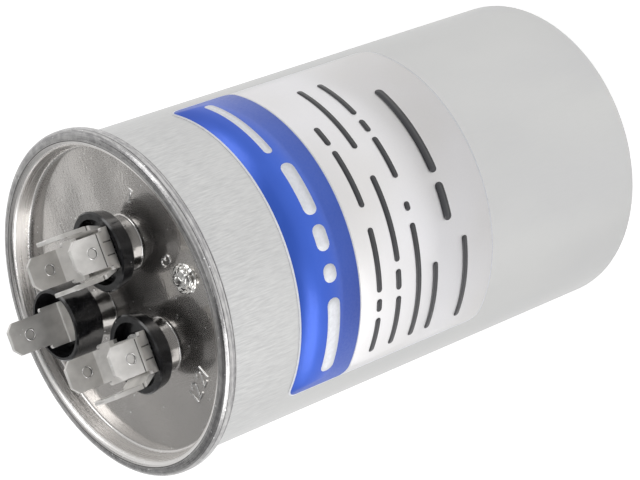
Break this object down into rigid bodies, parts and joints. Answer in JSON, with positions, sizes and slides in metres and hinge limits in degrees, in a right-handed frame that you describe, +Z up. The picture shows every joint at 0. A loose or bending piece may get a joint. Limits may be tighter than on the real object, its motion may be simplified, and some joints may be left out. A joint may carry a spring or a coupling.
{
  "type": "motor run capacitor",
  "caption": "Round metal can motor run capacitor with a double-seamed recessed lid, black insulated blade terminals and a plain banded label, standing upright",
  "frame": {"origin": "centre of the can's flat bottom", "axes": "+Z up the can's axis to the terminals, -Y to the label side, +X towards the common terminal"},
  "size_m": [0.0676, 0.0676, 0.1266],
  "materials": {
    "can_aluminium": "satin drawn aluminium with fine lines along the axis",
    "tinplate": "bright tinplate, a soft mirror",
    "compound": "dark grey lining compound",
    "solder": "bright lumpy solder",
    "label_film": "printed film, pale field under a blue band",
    "black_plastic": "glossy black moulded insulator",
    "rubber": "soft black seal",
    "ivory_plastic": "plain ivory bush",
    "plated_steel": "bright plated steel",
    "tinned_strip": "dull tinned strip with a fine grain",
    "lead_insulation": "plain wire insulation",
    "white_plastic": "plain white moulding",
    "sprayed_metal": "matt sprayed zinc",
    "metallised_film": "wound metallised film",
    "clear_film": "wound plain film"
  },
  "bodies": {
    "root": {"can": "can_aluminium", "lid": "tinplate", "seam_compound": "compound", "fill_solder": "solder", "label": "label_film", "herm_cup": "black_plastic", "common_cup": "black_plastic", "fan_cup": "black_plastic", "herm_seal": "rubber", "common_seal": "rubber", "fan_seal": "rubber", "herm_bush": "ivory_plastic", "common_bush": "ivory_plastic", "fan_bush": "ivory_plastic", "herm_washer": "plated_steel", "common_washer": "plated_steel", "fan_washer": "plated_steel", "herm_rivet": "plated_steel", "common_rivet": "plated_steel", "fan_rivet": "plated_steel", "herm_main_tabs": "tinned_strip", "herm_side_tab": "tinned_strip", "common_main_tabs": "tinned_strip", "common_cross_tabs": "tinned_strip", "fan_tab": "tinned_strip", "herm_lug": "tinned_strip", "common_lug": "tinned_strip", "fan_lug": "tinned_strip", "herm_lead": "lead_insulation", "common_lead": "lead_insulation", "fan_lead": "lead_insulation", "interrupter_cap": "white_plastic", "herm_end_metal": "sprayed_metal", "fan_end_metal": "sprayed_metal", "main_winding": "metallised_film", "section_barrier": "clear_film", "fan_winding": "metallised_film", "core_tube": "white_plastic", "roll_wrap": "clear_film", "common_end_metal": "sprayed_metal", "bottom_pan": "white_plastic"}
  },
  "joints": []
}
